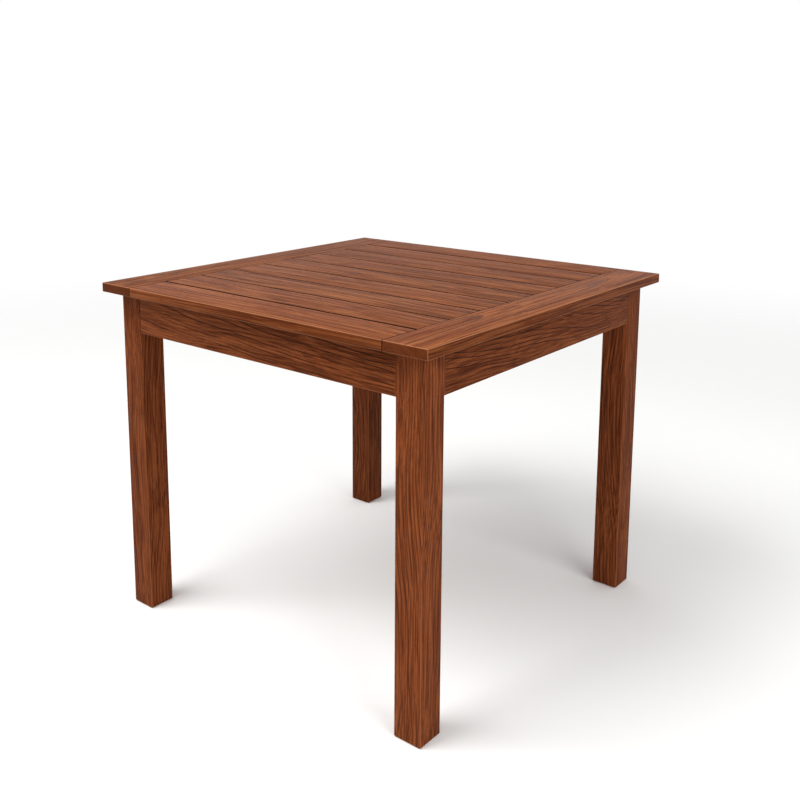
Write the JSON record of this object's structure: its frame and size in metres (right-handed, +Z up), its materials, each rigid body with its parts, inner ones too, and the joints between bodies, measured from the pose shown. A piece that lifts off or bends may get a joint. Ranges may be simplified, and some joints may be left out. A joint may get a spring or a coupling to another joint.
{
  "type": "dining table",
  "caption": "Square dining table of red-brown hardwood with a slatted top, plain aprons and square legs.",
  "frame": {"origin": "on the floor, under the middle of the top", "axes": "+Z up, +X along the slats to the right, +Y to the back"},
  "size_m": [0.88, 0.88, 0.745],
  "materials": {
    "top_wood": "satin stain",
    "frame_wood": "satin stain",
    "inner_wood": "matt stain",
    "zinc_steel": "zinc plated",
    "glide_nylon": "moulded nylon"
  },
  "bodies": {
    "root": {"apron_back": "frame_wood", "apron_front": "frame_wood", "apron_left": "frame_wood", "apron_right": "frame_wood", "back_edge_board": "top_wood", "batten_left": "inner_wood", "batten_right": "inner_wood", "batten_screws": "zinc_steel", "bolt_nuts": "zinc_steel", "bolt_washers": "zinc_steel", "brace_screws": "zinc_steel", "button_screws": "zinc_steel", "corner_brace_back_left": "inner_wood", "corner_brace_back_right": "inner_wood", "corner_brace_front_left": "inner_wood", "corner_brace_front_right": "inner_wood", "end_board_left": "top_wood", "end_board_right": "top_wood", "foot_glide_back_left": "glide_nylon", "foot_glide_back_right": "glide_nylon", "foot_glide_front_left": "glide_nylon", "foot_glide_front_right": "glide_nylon", "front_edge_board": "top_wood", "hanger_bolts": "zinc_steel", "leg_back_left": "frame_wood", "leg_back_right": "frame_wood", "leg_front_left": "frame_wood", "leg_front_right": "frame_wood", "top_buttons": "inner_wood", "top_slat_1": "top_wood", "top_slat_2": "top_wood", "top_slat_3": "top_wood", "top_slat_4": "top_wood", "top_slat_5": "top_wood", "top_slat_6": "top_wood", "top_slat_7": "top_wood"}
  },
  "joints": []
}
